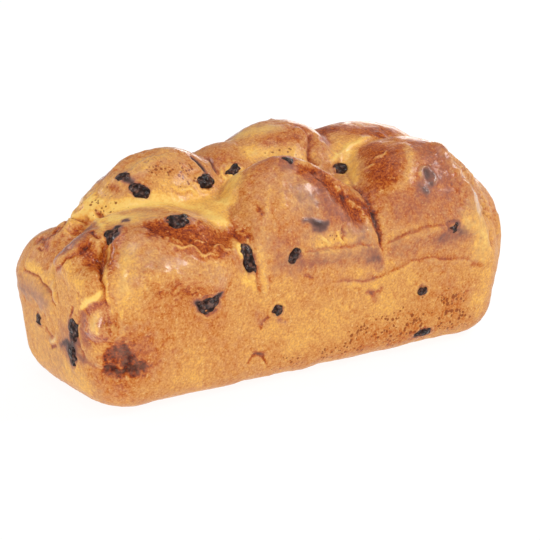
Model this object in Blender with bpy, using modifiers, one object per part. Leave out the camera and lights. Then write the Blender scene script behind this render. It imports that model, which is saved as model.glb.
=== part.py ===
"""Chocolate brioche: a plaited loaf baked in a flared tin, with chocolate chunks set in its crust.

Metres, +Z up. The origin is the middle of the flat base. +X runs along the loaf, and -Y is its front.
The dough is one solid, and each chunk is a solid of its own that sits in a pocket in the dough.
"""

import math
import random

import bmesh
import bpy
from mathutils import Euler, Matrix, Vector
from mathutils.bvhtree import BVHTree

MM = 0.001

# The tin that shaped the lower half: its floor, and how far its walls lean out for each unit of height
BASE_LENGTH = 220 * MM
BASE_WIDTH = 87 * MM
SIDE_LEAN = 0.094
LEFT_LEAN = 0.084
RIGHT_LEAN = 0.176
TIN_CORNER = 22 * MM
BASE_EDGE = 15 * MM
MOULD_HEIGHT = 115 * MM

# The dough that fills the tin, under the plait
FILL_HEIGHT = 50 * MM
FILL_SHOULDER = 12 * MM
FILL_INSET = 0.8 * MM

# How finely the dough is meshed
DOUGH_VOXEL = 2.0 * MM
DOUGH_SMOOTHING = 8
DOUGH_FACES = 7600
BASE_TRIM = 0.4 * MM

# The plait's lobes: name, middle, half sizes (both in mm), turns about X, Y and Z (degrees), and how square
# they are upright and in plan (2 is round, and less is pointed)
LOBES = (
    ("core", (0, 0, 22), (116, 50, 61), (0, 0, 0), 3.2, 3.2),
    ("front_left", (-69, -18, 28), (41, 38, 56), (0, 0, 0), 2.6, 3.0),
    ("front_middle", (-1, -18, 34), (49, 36, 65), (0, 0, 0), 1.8, 2.8),
    ("front_right", (70, -14, 34), (45, 39, 63), (0, 0, 0), 2.1, 2.8),
    ("back_left", (-47, 16, 40), (50, 36, 62), (0, 0, 0), 1.9, 2.2),
    ("back_middle", (18, 18, 42), (38, 34, 63), (0, 0, 0), 2.5, 2.4),
    ("back_middle_tail", (-6, 18, 40), (38, 34, 59), (0, 0, 0), 2.1, 2.4),
    ("back_right", (62, 18, 40), (52, 34, 59), (0, 0, 0), 2.2, 2.6),
    ("left_lobe", (-97, 17, 33), (20, 30, 38), (0, 0, 0), 2.2, 2.4),
    ("left_flap", (-101, -18, 62), (21, 13, 15), (0, -36, 6), 2.2, 2.2),
    ("left_fold", (-104, -32, 40), (15, 18, 30), (0, 0, 0), 2.3, 2.4),
    ("right_end", (97, -3, 33), (27, 38, 45), (0, 0, 0), 2.5, 2.8),
)
LOBE_SEGMENTS = 48
LOBE_RINGS = 32

# The chunks that show: a place on the crust (mm), length and width (mm), and the turn of the length (degrees)
CHUNKS = (
    ((-64, -31, 82), 13.5, 9.5, 0),
    ((-67, -2, 90), 11.5, 7.0, -60),
    ((-71, 9, 95), 6.5, 5.5, -60),
    ((-33, -3, 89), 10.0, 7.5, 27),
    ((-17, 0, 92), 9.5, 7.5, 37),
    ((-93, -24, 79), 10.5, 8.5, 32),
    ((-89, 19, 80), 6.5, 5.0, -51),
    ((-36, -44, 63), 13.5, 6.5, -81),
    ((-59, -48, 47), 12.5, 10.0, -30),
    ((-1, -22, 98), 8.0, 4.5, 0),
    ((38, -6, 84), 12.0, 6.5, -6),
    ((-14, -49, 62), 6.5, 4.5, 45),
    ((74, -49, 62), 8.0, 5.5, -13),
    ((59, -47, 32), 5.5, 4.5, -37),
    ((-22, -47, 37), 6.0, 4.5, -23),
    ((63, -43, 9), 10.0, 5.0, 0),
    ((-113, -23, 38), 12.5, 6.5, 75),
    ((-112, -20, 24), 10.5, 6.5, 80),
    ((-113, 11, 33), 7.5, 4.5, 70),
)
CHUNK_THICKNESS = 5.6 * MM
CHUNK_PROUD = 1.8 * MM
CHUNK_ROUGHNESS = 0.14
POCKET_GAP = 0.4 * MM

# The chunks of the back and the right end, which a seeded rule spreads
BACK_CHUNKS = 7
BACK_FIRST = -92 * MM
BACK_LAST = 84 * MM
BACK_LOWEST = 14 * MM
BACK_HIGHEST = 84 * MM
BACK_WALL = 48 * MM
END_WALL = 118 * MM
END_CHUNKS = ((-18 * MM, 56 * MM), (20 * MM, 30 * MM))
SPREAD_LENGTHS = (6.0, 12.5)
SPREAD_SEED = 11


def clear_scene():
    """Removes whatever the startup file put in the scene."""
    for thing in list(bpy.data.objects):
        bpy.data.objects.remove(thing, do_unlink=True)


def material(name, colour, roughness):
    """A plain finish of one colour."""
    finish = bpy.data.materials.new(name)
    finish.use_nodes = True
    shader = finish.node_tree.nodes["Principled BSDF"]
    shader.inputs["Base Color"].default_value = (*colour, 1.0)
    shader.inputs["Roughness"].default_value = roughness
    shader.inputs["Metallic"].default_value = 0.0
    return finish


def object_of(name, bm, collection):
    """Makes an object of a bmesh and puts it in a collection."""
    mesh = bpy.data.meshes.new(name)
    bm.to_mesh(mesh)
    bm.free()
    thing = bpy.data.objects.new(name, mesh)
    collection.objects.link(thing)
    return thing


def flared_block(height, inset, shoulder):
    """The inside of the tin up to a height: a box whose walls lean out, with its edges rounded."""
    bm = bmesh.new()
    bmesh.ops.create_cube(bm, size=1.0)
    for corner in bm.verts:
        is_top = corner.co.z > 0
        rise = height if is_top else 0.0
        end_lean = RIGHT_LEAN if corner.co.x > 0 else LEFT_LEAN
        corner.co.x = math.copysign(BASE_LENGTH / 2 + rise * end_lean - inset, corner.co.x)
        corner.co.y = math.copysign(BASE_WIDTH / 2 + rise * SIDE_LEAN - inset, corner.co.y)
        corner.co.z = height if is_top else -BASE_TRIM
    upright = [e for e in bm.edges if abs(e.verts[0].co.z - e.verts[1].co.z) > height / 2]
    bmesh.ops.bevel(bm, geom=upright, offset=TIN_CORNER, segments=6, profile=0.5, affect="EDGES")
    low = [e for e in bm.edges if max(v.co.z for v in e.verts) < height / 2]
    bmesh.ops.bevel(bm, geom=low, offset=BASE_EDGE, segments=4, profile=0.5, affect="EDGES")
    if shoulder:
        high = [e for e in bm.edges if min(v.co.z for v in e.verts) > height * 0.99]
        bmesh.ops.bevel(bm, geom=high, offset=shoulder, segments=4, profile=0.5, affect="EDGES")
    return bm


def squared(value, squareness):
    """A sine or cosine, squared off: 2 keeps it, and more pushes it towards -1 or 1."""
    return math.copysign(abs(value) ** (2 / squareness), value)


def lobe(middle, half_sizes, turns, upright, plan):
    """One puffed loop of a dough strand: a superellipsoid."""
    bm = bmesh.new()
    bmesh.ops.create_uvsphere(bm, u_segments=LOBE_SEGMENTS, v_segments=LOBE_RINGS, radius=1.0)
    for point in bm.verts:
        across = math.hypot(point.co.x, point.co.y)
        if across > 0:
            reach = squared(across, upright)
            point.co.x = reach * squared(point.co.x / across, plan)
            point.co.y = reach * squared(point.co.y / across, plan)
        point.co.z = squared(point.co.z, upright)
    angles = Euler([math.radians(turn) for turn in turns])
    place = Matrix.LocRotScale(Vector(middle) * MM, angles, Vector(half_sizes) * MM)
    bmesh.ops.transform(bm, matrix=place, verts=bm.verts)
    return bm


def voxel_remesh(thing, name):
    """Adds a modifier that fuses overlapping shapes into one skin."""
    remesh = thing.modifiers.new(name, "REMESH")
    remesh.mode = "VOXEL"
    remesh.voxel_size = DOUGH_VOXEL


def boolean(thing, name, operation, solver="EXACT", cutter=None, cutters=None):
    """Adds a Boolean modifier, against one object or against a collection."""
    cut = thing.modifiers.new(name, "BOOLEAN")
    cut.operation = operation
    cut.solver = solver
    if cutters:
        cut.operand_type = "COLLECTION"
        cut.collection = cutters
    else:
        cut.object = cutter


def dough(collection, helpers):
    """The loaf without its pockets: filling and lobes fused, pressed into the tin, softened and thinned."""
    shapes = [flared_block(FILL_HEIGHT, FILL_INSET, FILL_SHOULDER)]
    shapes += [lobe(*row[1:]) for row in LOBES]
    joined = bmesh.new()
    for shape in shapes:
        mesh = bpy.data.meshes.new("shape")
        shape.to_mesh(mesh)
        shape.free()
        joined.from_mesh(mesh)
        bpy.data.meshes.remove(mesh)
    loaf = object_of("loaf", joined, collection)
    mould = object_of("mould", flared_block(MOULD_HEIGHT, 0.0, 0.0), helpers)
    voxel_remesh(loaf, "fuse")
    boolean(loaf, "press", "INTERSECT", "MANIFOLD", cutter=mould)
    voxel_remesh(loaf, "fuse_again")
    soften = loaf.modifiers.new("soften", "SMOOTH")
    soften.factor = 0.5
    soften.iterations = DOUGH_SMOOTHING
    thin = loaf.modifiers.new("thin", "DECIMATE")
    thin.ratio = DOUGH_FACES / (2 * len(evaluated_mesh(loaf).polygons))
    table = object_of("table", slab(), helpers)
    boolean(loaf, "trim_base", "DIFFERENCE", cutter=table)
    return loaf


def slab():
    """What the loaf stands on: it cuts the base flat."""
    bm = bmesh.new()
    bmesh.ops.create_cube(bm, size=1.0)
    size = Vector((BASE_LENGTH * 2, BASE_WIDTH * 2, MOULD_HEIGHT))
    place = Matrix.LocRotScale(Vector((0, 0, -MOULD_HEIGHT / 2)), None, size)
    bmesh.ops.transform(bm, matrix=place, verts=bm.verts)
    return bm


def evaluated_mesh(thing):
    """A mesh as its modifiers leave it."""
    return thing.evaluated_get(bpy.context.evaluated_depsgraph_get()).to_mesh()


def spread_chunks():
    """Places, sizes and turns of the chunks that a seeded rule gives the back and the right end."""
    draw = random.Random(SPREAD_SEED)
    places = []
    for index in range(BACK_CHUNKS):
        along = BACK_FIRST + (BACK_LAST - BACK_FIRST) * (index + draw.uniform(-0.2, 0.2)) / (BACK_CHUNKS - 1)
        height = draw.uniform(BACK_LOWEST, BACK_HIGHEST)
        places.append(Vector((along, BACK_WALL, height)))
    for across, height in END_CHUNKS:
        places.append(Vector((END_WALL, across, height)))
    rows = []
    for place in places:
        length = draw.uniform(*SPREAD_LENGTHS)
        width = length * draw.uniform(0.55, 0.85)
        rows.append((place / MM, length, width, draw.uniform(-90, 90)))
    return rows


def chunk_shape(half_sizes, place, seed):
    """A broken piece of chocolate: a rough lump in a given place and turn."""
    draw = random.Random(seed)
    bm = bmesh.new()
    bmesh.ops.create_icosphere(bm, subdivisions=2, radius=1.0)
    for point in bm.verts:
        point.co *= 1 + draw.uniform(-CHUNK_ROUGHNESS, CHUNK_ROUGHNESS)
    bmesh.ops.transform(bm, matrix=place @ Matrix.Diagonal((*half_sizes, 1)), verts=bm.verts)
    return bm


def frame_on(crust, target, turn):
    """A frame on the crust nearest to a target: Z is the crust's normal, and X is turned about it."""
    point, normal, _, _ = crust.find_nearest(target)
    along = Vector((1, 0, 0)) if abs(normal.x) < 0.9 else Vector((0, 1, 0))
    x_axis = (along - normal * normal.dot(along)).normalized()
    axes = Matrix((x_axis, normal.cross(x_axis), normal)).transposed().to_4x4()
    return Matrix.Translation(point) @ axes @ Matrix.Rotation(math.radians(turn), 4, "Z")


def add_chunks(loaf, collection, pockets, finish):
    """Sets every chunk in the crust, and makes the cutter of its pocket."""
    crust = BVHTree.FromObject(loaf, bpy.context.evaluated_depsgraph_get())
    for number, (place, length, width, turn) in enumerate(list(CHUNKS) + spread_chunks(), 1):
        half_sizes = Vector((length * MM, width * MM, min(CHUNK_THICKNESS, width * MM))) / 2
        sunk = Matrix.Translation((0, 0, CHUNK_PROUD - half_sizes.z))
        seat = frame_on(crust, Vector(place) * MM, turn) @ sunk
        chunk = object_of(f"chunk_{number:02d}", chunk_shape(half_sizes, seat, number), collection)
        chunk.data.materials.append(finish)
        room = half_sizes + Vector((POCKET_GAP,) * 3)
        object_of(f"pocket_{number:02d}", chunk_shape(room, seat, number), pockets)


def main():
    clear_scene()
    groups = {}
    for name in ("chocolate_brioche", "helpers", "pockets"):
        groups[name] = bpy.data.collections.new(name)
        bpy.context.scene.collection.children.link(groups[name])
    crust = material("crust", (0.52, 0.24, 0.07), 0.45)
    chocolate = material("chocolate", (0.022, 0.009, 0.006), 0.3)
    loaf = dough(groups["chocolate_brioche"], groups["helpers"])
    add_chunks(loaf, groups["chocolate_brioche"], groups["pockets"], chocolate)
    boolean(loaf, "cut_pockets", "DIFFERENCE", cutters=groups["pockets"])
    loaf.data.materials.append(crust)
    loaf.data.shade_smooth()
    for helper in list(groups["helpers"].objects) + list(groups["pockets"].objects):
        helper.hide_render = True
        helper.display_type = "WIRE"


main()
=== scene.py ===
"""The chocolate brioche's looks: a fine crust with its folds, colours and gloss, and the chocolate in it.

Metres, +Z up. +X runs along the loaf and -Y is its front, as in the solids. Tables of places are in mm.
"""

import math
from collections import namedtuple
from functools import partial

import bmesh
import bpy
import numpy as np
from mathutils import Euler, Matrix, Vector, noise
from mathutils.bvhtree import BVHTree


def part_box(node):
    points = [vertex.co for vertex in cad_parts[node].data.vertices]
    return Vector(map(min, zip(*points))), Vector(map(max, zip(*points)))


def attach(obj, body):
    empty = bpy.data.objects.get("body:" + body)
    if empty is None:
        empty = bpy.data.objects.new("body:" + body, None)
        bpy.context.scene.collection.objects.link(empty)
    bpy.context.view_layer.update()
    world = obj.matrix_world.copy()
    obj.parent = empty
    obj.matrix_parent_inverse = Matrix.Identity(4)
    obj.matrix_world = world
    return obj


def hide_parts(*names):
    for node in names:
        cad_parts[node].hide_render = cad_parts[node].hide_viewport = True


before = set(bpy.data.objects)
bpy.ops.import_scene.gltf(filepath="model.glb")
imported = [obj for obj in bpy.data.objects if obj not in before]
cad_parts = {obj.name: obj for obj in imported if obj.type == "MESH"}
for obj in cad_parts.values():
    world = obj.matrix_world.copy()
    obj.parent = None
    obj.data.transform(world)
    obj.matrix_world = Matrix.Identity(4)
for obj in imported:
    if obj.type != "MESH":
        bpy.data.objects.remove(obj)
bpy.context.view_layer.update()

MM = 0.001
# Without a seed, noise_vector gives other vectors each run
NOISE_SEED = 1
noise.seed_set(NOISE_SEED)

# ------------------------ the dough, with the sizes of its solid

BASE_LENGTH = 220 * MM
BASE_WIDTH = 87 * MM
SIDE_LEAN = 0.094
LEFT_LEAN = 0.084
RIGHT_LEAN = 0.176
TIN_CORNER = 22 * MM
BASE_EDGE = 15 * MM
MOULD_HEIGHT = 115 * MM
FILL_HEIGHT = 50 * MM
FILL_SHOULDER = 12 * MM
FILL_INSET = 0.8 * MM
BASE_TRIM = 0.4 * MM

# The plait's lobes: name, middle and half sizes (mm), how square they are upright and in plan (2 is round,
# and less is pointed) and, for the flap, its turns about X, Y and Z (degrees)
LOBES = (
    ("core", (0, 0, 22), (116, 50, 61), 3.2, 3.2),
    ("front_left", (-69, -18, 28), (41, 38, 56), 2.6, 3.0),
    ("front_middle", (-1, -18, 34), (49, 36, 65), 1.8, 2.8),
    ("front_right", (70, -14, 34), (45, 39, 63), 2.1, 2.8),
    ("back_left", (-47, 16, 40), (50, 36, 62), 1.9, 2.2),
    ("back_middle", (18, 18, 42), (38, 34, 63), 2.5, 2.4),
    ("back_middle_tail", (-6, 18, 40), (38, 34, 59), 2.1, 2.4),
    ("back_right", (62, 18, 40), (52, 34, 59), 2.2, 2.6),
    ("left_lobe", (-97, 17, 33), (20, 30, 38), 2.2, 2.4),
    ("left_flap", (-101, -18, 62), (21, 13, 15), 2.2, 2.2, (0, -36, 6)),
    ("left_fold", (-104, -32, 40), (15, 18, 30), 2.3, 2.4),
    ("right_end", (97, -3, 33), (27, 38, 45), 2.5, 2.8),
)
LOBE_SEGMENTS = 96
LOBE_RINGS = 64
CRUST_VOXEL = 0.60 * MM
CRUST_SMOOTHING = 90
CRUST_FACES = 199000
# How often a vertex is blended with its neighbours, to compare it with its lobe or with what is beside it,
# and to stretch glossy dough smooth
BROAD_ROUNDS = 350
FINE_ROUNDS = 10
GLOSS_ROUNDS = 80
# The noise on all of the crust, from coarse to fine: the size of its lumps, and their height (mm)
SWELL_SIZE, SWELL = 30 * MM, 0.8
LUMP_SIZE, LUMPS = 9 * MM, 0.35
GRAIN_SIZE, GRAIN = 3.2 * MM, 0.15
WOBBLE_SIZE = 5 * MM
# Gaps to the tin from pressed to free dough, and the heights at which its foot ends and its top begins
TIN_GAPS = (0.8 * MM, 3.5 * MM)
FOOT_HEIGHTS = (6 * MM, 20 * MM)
TOP_HEIGHTS = (55 * MM, 75 * MM)
PLAIN_TONE = 0.42
DARK_TONE = 0.7

# ------------------------ relief and baking of the crust, with light and shade painted on it in places

# A stroke over the crust. kind is its profile across: "seam" is a sharp groove (or, with a height over 0, a
# sharp ridge), "roll" is round, "patch" is flat with a soft edge, and "lip" is a step whose left side stands
# proud. width is its half width and height its rise, in mm. tone bakes it browner (+) or paler (-), and in
# some strokes paints a highlight instead. places are what it runs through. It adds to purple (melted
# chocolate, and in some strokes a painted pink sheen), gloss (egg wash) and speckle (dark pores).
Stroke = namedtuple("Stroke", "kind width height tone places purple gloss speckle", defaults=(0.0, 0.0, 0.0))
seam, roll, patch, lip = (partial(Stroke, kind) for kind in ("seam", "roll", "patch", "lip"))

# How far a stroke counts, in its half widths, how uneven its width is, and the gap between its line's points
STROKE_REACH = {"seam": 5.0, "roll": 2.6, "patch": 2.2, "lip": 10.0}
STROKE_WOBBLE = 0.45
STROKE_STEP = 0.5 * MM
# The noise that bends strokes, coarse and fine: the size of its lumps, and how far it shifts a place (mm)
BEND_SIZE, BEND = 7 * MM, 1.3
RUFFLE_SIZE, RUFFLE = 2.6 * MM, 0.35


def paint(width, tone, places, **more):
    """A patch of colour or gloss, without relief."""
    return patch(width, 0.0, tone, places, **more)


# What the photograph shows, with places in its frame of 540 x 540
PHOTO_SIDE = 540
SEEN = (
    # front left lobe: crest, brown shelf with crinkles, wavy pale ridge, and the round shoulder under it
    paint(4.6, -0.16, ((104, 216), (120, 209), (140, 206), (160, 205)), purple=-0.20),
    roll(3.0, 0.4, -0.16, ((146, 208), (160, 207), (173, 210), (194, 216), (214, 220), (228, 221)),
         purple=-0.2),
    roll(0.9, 0.5, -0.30, ((145, 206), (155, 204), (165, 205), (175, 208))),
    patch(6.6, -2.0, 0.26, ((160, 226), (178, 230), (195, 234), (216, 238), (232, 236)),
          purple=-0.20, gloss=-0.25),
    paint(3.0, 0.14, ((186, 242), (204, 248), (222, 252)), gloss=-0.3),
    patch(2.0, -0.3, 0.10, ((176, 250), (190, 253), (204, 257), (222, 257)), gloss=-0.3),
    roll(0.55, 0.6, -0.34, ((168, 243), (176, 246), (184, 249), (193, 247), (203, 254), (212, 255),
                            (219, 254))),
    roll(0.6, 0.6, -0.20, ((194, 241), (201, 239), (208, 241)), gloss=0.3),
    roll(0.6, 0.6, -0.24, ((212, 246), (219, 243), (226, 245)), gloss=0.3),
    roll(0.6, 0.6, -0.24, ((222, 251), (228, 249), (235, 251)), gloss=0.3),
    roll(5.5, 3.2, 0.02, ((140, 272), (160, 275), (185, 279), (208, 283), (228, 288)), gloss=0.2),
    # painted highlight: a pale pink band along the shoulder, over real gloss
    paint(3.6, -0.06, ((152, 260), (168, 263), (186, 267), (204, 270), (222, 273)), purple=0.10, gloss=1.1),
    paint(4.5, 0.14, ((146, 214), (148, 224), (152, 236)), purple=0.06),
    paint(5.0, -0.40, ((112, 218), (130, 219), (148, 216)), purple=0.05),
    patch(7.0, -0.3, 0.12, ((165, 286), (188, 290), (216, 288))),
    paint(12.0, 0.07, ((152, 332), (174, 314), (206, 320))),
    # its left edge: crease, thin pale edge, a brown flank with a painted mauve sheen, and a pale band beside
    # it that is a painted highlight
    seam(1.8, -4.4, 0.10, ((107, 238), (104, 248), (102, 262), (102, 282), (104, 300))),
    seam(1.2, -1.2, 0.02, ((103, 294), (106, 312), (112, 338))),
    roll(0.9, 0.8, -0.24, ((112, 238), (107, 250), (105, 264), (105, 288), (108, 304))),
    # painted mauve sheen over a brown flank
    roll(2.8, 1.4, 0.32, ((122, 228), (116, 242), (113, 258), (112, 276)), purple=0.14, gloss=0.3),
    # painted highlight: a pale pink band, over real gloss
    roll(3.4, 0.9, -0.24, ((134, 240), (128, 256), (124, 276), (119, 300)), purple=0.10, gloss=0.7),
    paint(6.0, -0.10, ((146, 246), (140, 264), (136, 284))),
    roll(2.6, -0.6, 0.04, ((110, 292), (116, 312), (122, 334))),
    paint(4.5, -0.12, ((114, 306), (116, 320), (118, 334))),
    # seam between the front left and middle lobes, the orange hollow beside it, and the strand edge below
    seam(3.0, -1.6, 0.00, ((229, 200), (231, 215), (237, 230), (243, 245), (248, 268), (250, 290))),
    paint(4.2, 0.12, ((238, 192), (235, 206), (234, 218), (237, 232)), purple=-0.10),
    patch(2.6, 1.2, -0.26, ((235, 240), (238, 246), (241, 254)), purple=-0.10),
    paint(3.0, -0.30, ((247, 279), (254, 281))),
    paint(2.0, -0.24, ((238, 247), (241, 254))),
    roll(2.4, 1.2, -0.10, ((259, 238), (260, 256), (262, 275), (265, 296)), gloss=0.2),
    roll(1.4, -0.8, 0.12, ((254, 262), (257, 278), (259, 292))),
    # front middle lobe: shoulder, faint stretch lines, ridge, concave brown band and outer edge
    roll(4.5, 0.8, 0.10, ((294, 162), (280, 160), (266, 164), (252, 172), (244, 184), (240, 202))),
    roll(1.2, 0.4, -0.08, ((270, 182), (268, 200), (267, 222))),
    roll(1.2, 0.3, -0.05, ((282, 186), (283, 208))),
    roll(3.0, 0.6, -0.08, ((266, 226), (267, 244), (270, 262))),
    # painted pink sheen over the lobe's face
    paint(9.0, -0.06, ((296, 186), (306, 204), (316, 222)), purple=0.18),
    paint(6.0, 0.18, ((318, 186), (330, 208), (342, 222)), purple=0.12),
    seam(2.0, 2.4, 0.00, ((293, 164), (306, 172), (316, 181), (324, 191), (330, 202), (333, 214)),
         gloss=0.2),
    # painted pink sheen along the ridge, over real gloss
    roll(5.5, 0.3, -0.06, ((298, 182), (307, 196), (318, 210)), purple=0.14, gloss=0.4),
    patch(4.8, -2.0, 0.34, ((306, 170), (320, 180), (336, 192), (348, 204), (358, 216)),
          purple=-0.10, gloss=-0.3),
    patch(3.2, -0.5, 0.38, ((346, 194), (360, 202), (370, 212)), purple=-0.10),
    paint(5.0, 0.12, ((336, 206), (348, 218), (358, 228)), purple=0.10),
    roll(1.6, 1.8, 0.16, ((299, 161), (318, 171), (338, 183), (352, 191)), purple=0.04),
    paint(2.4, 0.12, ((283, 162), (290, 165))),
    paint(5.0, 0.06, ((272, 246), (290, 248)), purple=0.1),
    # seam between the front middle and right lobes, and the crack under it
    seam(2.0, -2.4, 0.14, ((345, 174), (359, 188), (371, 205), (378, 224), (382, 245), (384, 258))),
    roll(1.3, -0.8, 0.50, ((372, 206), (376, 217), (379, 231), (382, 246))),
    # rough yellow place and pink sheen over the rim, then the fold line and the lower lip
    patch(3.6, -0.8, -0.24, ((318, 243), (332, 240), (344, 233)), speckle=0.5),
    roll(0.9, 0.9, -0.10, ((318, 236), (326, 241), (330, 247))),
    roll(0.9, 0.9, -0.08, ((338, 229), (340, 238), (345, 244))),
    roll(0.9, -0.9, 0.30, ((341, 226), (346, 233), (343, 240))),
    patch(4.6, 0.9, -0.06, ((353, 236), (367, 234)), purple=0.20, gloss=0.2),
    lip(1.7, 1.9, 0.04, ((377, 246), (362, 247), (343, 248), (324, 250), (303, 254))),
    lip(1.9, 2.2, 0.03, ((446, 224), (430, 228), (413, 233), (398, 239), (386, 244))),
    patch(5.0, -0.4, 0.10, ((282, 266), (305, 262), (330, 258), (352, 256), (374, 257)), purple=0.26),
    patch(5.0, -0.5, 0.10, ((395, 250), (420, 243), (445, 238), (464, 238)), purple=0.20),
    lip(1.4, 1.0, 0.02, ((478, 264), (462, 260), (440, 259), (418, 261), (402, 267), (390, 274), (380, 279),
                         (365, 281), (348, 281), (330, 284))),
    roll(1.2, 0.0, 0.12, ((335, 281), (350, 280), (366, 280), (382, 278)), purple=0.2),
    roll(1.0, -0.4, 0.20, ((305, 276), (312, 277)), purple=0.1),
    # front right lobe: pale flank, brown oval with scratches, pale arc, mottled face, right ridge
    seam(2.4, 2.2, -0.20, ((326, 163), (340, 154), (352, 146), (362, 141), (372, 136))),
    patch(3.4, -0.6, -0.24, ((330, 158), (344, 149), (356, 143))),
    patch(4.0, 0.4, -0.34, ((348, 154), (353, 166), (353, 180))),
    roll(2.0, 0.8, 0.16, ((370, 136), (382, 135), (394, 138), (402, 142)), gloss=-0.4),
    roll(0.7, -0.6, 0.34, ((374, 135), (384, 139), (394, 138))),
    patch(7.5, 0.3, 0.20, ((370, 146), (378, 158), (382, 172), (386, 183)), purple=-0.08, gloss=-0.2),
    paint(4.6, 0.12, ((394, 148), (396, 160), (392, 172))),
    paint(3.4, 0.16, ((362, 188), (370, 196), (376, 204))),
    roll(0.8, 0.6, -0.30, ((374, 162), (384, 156), (388, 151)), gloss=0.2),
    roll(0.8, 0.5, -0.24, ((364, 171), (373, 167))),
    patch(2.6, 0.4, -0.16, ((408, 146), (411, 157), (409, 170), (401, 183), (390, 191))),
    paint(7.5, 0.26, ((420, 146), (433, 158), (442, 176)), purple=0.16),
    paint(9.0, 0.12, ((408, 206), (430, 210), (452, 200)), purple=0.14),
    roll(4.8, 3.4, 0.02, ((430, 142), (441, 151), (453, 166), (464, 184), (472, 202), (476, 218)),
         purple=0.10, gloss=0.3),
    # painted highlight: a pale pink line on the ridge's right side, over real gloss
    paint(2.4, -0.20, ((450, 156), (462, 172), (471, 190), (477, 208)), purple=0.10, gloss=0.9),
    seam(1.8, -4.4, 0.16, ((455, 158), (467, 173), (478, 189), (485, 207), (486, 222)), purple=-0.1),
    roll(2.0, 2.0, -0.16, ((474, 186), (481, 198), (485, 212)), gloss=0.4),
    # the pale pink of this groove is painted, as part of the ridge's highlight
    patch(7.0, -3.0, -0.12, ((460, 163), (472, 177), (482, 192)), purple=0.14),
    # right end: pale stretched dough, and the strand that wraps the corner
    patch(6.0, 0.3, -0.24, ((468, 222), (478, 220), (484, 236), (480, 252)), purple=0.16),
    seam(2.0, -5.4, 0.12, ((487, 204), (491, 216), (493, 231), (493, 248))),
    roll(2.6, 2.0, 0.00, ((493, 211), (496, 222), (497, 236)), purple=0.12),
    roll(1.0, 0.0, 0.30, ((470, 263), (478, 265), (484, 264))),
    # notch between the back middle and right lobes, and their brown sides
    seam(2.4, -3.8, 0.14, ((312, 131), (311, 145), (311, 157), (320, 165))),
    roll(2.2, 1.8, 0.08, ((294, 129), (303, 134), (307, 148))),
    paint(3.0, 0.18, ((302, 128), (308, 133))),
    patch(3.4, -0.3, 0.34, ((321, 133), (326, 142))),
    paint(5.0, 0.30, ((322, 129), (345, 127), (365, 130), (388, 131))),
    paint(4.5, -0.08, ((335, 142), (345, 140))),
    patch(4.0, -0.3, 0.12, ((266, 142), (280, 138), (292, 138))),
    # painted highlight: a pale patch on the back middle lobe's crown, over real gloss
    paint(4.6, -0.34, ((240, 133), (254, 130), (270, 128)), gloss=0.5),
    paint(4.0, -0.28, ((252, 152), (278, 152), (298, 156), (307, 166)), speckle=0.5),
    # cracks between the back left and middle lobes, and the yellow dough under them
    roll(1.5, -1.4, 0.50, ((189, 155), (196, 160), (202, 166), (206, 174)), purple=1.0, gloss=-0.8),
    roll(1.1, -1.4, 0.26, ((206, 157), (212, 165), (218, 175)), purple=0.2),
    patch(5.4, 0.6, -0.34, ((232, 172), (234, 182), (231, 196)), purple=-0.3),
    paint(4.0, 0.12, ((203, 158), (216, 164), (222, 160))),
    # back left lobe: sheen on the crown, speckled patch, stretched yellow dough under them
    roll(2.4, 1.0, 0.00, ((160, 149), (174, 149), (187, 154)), gloss=0.5),
    paint(7.0, -0.14, ((135, 166), (150, 159), (168, 158)), purple=0.05),
    patch(6.0, -2.0, 0.00, ((128, 163), (145, 153))),
    patch(5.4, -0.4, 0.08, ((160, 166), (172, 168), (186, 172)), speckle=1.6),
    paint(9.0, -0.18, ((172, 190), (196, 196), (212, 204), (220, 212)), purple=-0.50),
    roll(0.8, 0.6, -0.10, ((170, 184), (180, 190), (190, 188), (200, 196))),
    paint(4.0, -0.26, ((140, 198), (172, 203), (200, 210), (222, 220))),
    paint(5.0, -0.28, ((98, 205), (112, 206), (128, 205), (142, 203)), speckle=0.6),
    paint(4.0, -0.20, ((108, 217), (122, 215), (136, 213))),
    paint(8.0, -0.16, ((92, 200), (104, 188), (118, 174), (140, 162))),
    roll(1.4, -0.5, 0.30, ((110, 186), (116, 190)), speckle=0.6),
    roll(1.4, -1.4, 0.34, ((98, 213), (104, 217))),
    # dough that fills the valley behind the left flap, and its yellow rim
    patch(5.0, 2.6, -0.06, ((58, 237), (65, 231), (72, 227))),
    patch(6.0, 2.8, -0.10, ((72, 230), (80, 219), (86, 209))),
    roll(1.6, 0.8, -0.28, ((76, 222), (84, 218), (92, 217), (99, 222), (103, 232))),
    roll(1.3, -1.0, 0.30, ((91, 231), (98, 236))),
    # left flap: a twisted mauve brown strand, its upper crease and lower edge, and the orange hollow under it
    patch(5.4, 0.8, 0.32, ((60, 256), (70, 246), (80, 236), (89, 230)), purple=0.30, gloss=0.4),
    paint(3.0, 0.30, ((80, 232), (88, 230)), purple=-0.60),
    seam(1.2, -2.0, 0.24, ((56, 240), (62, 233), (70, 227), (80, 223), (89, 224))),
    lip(1.7, 2.6, 0.10, ((56, 269), (64, 262), (73, 255), (82, 247), (90, 239))),
    patch(4.4, -1.0, 0.36, ((88, 249), (93, 256), (98, 264)), purple=-0.20),
    roll(1.8, -1.6, 0.50, ((53, 240), (55, 235), (58, 231))),
    # second lobe under the flap, and the pale spine on its left
    patch(7.5, 1.4, 0.02, ((74, 274), (82, 281), (89, 288)), purple=-0.1),
    paint(8.0, -0.02, ((82, 214), (94, 226), (102, 246), (104, 270)), purple=-0.24),
    # the spine is a real ridge; its pale pink tint is a painted highlight
    roll(2.2, 1.2, -0.10, ((55, 262), (53, 275), (54, 290), (57, 304)), purple=0.06, gloss=0.4),
    # pale fold, blister and scorched hollow at the left corner
    roll(1.5, 0.9, -0.55, ((81, 308), (88, 302), (95, 295), (101, 288)), purple=-0.2),
    lip(1.2, 0.9, 0.02, ((79, 313), (87, 306), (95, 299), (102, 292))),
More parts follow.
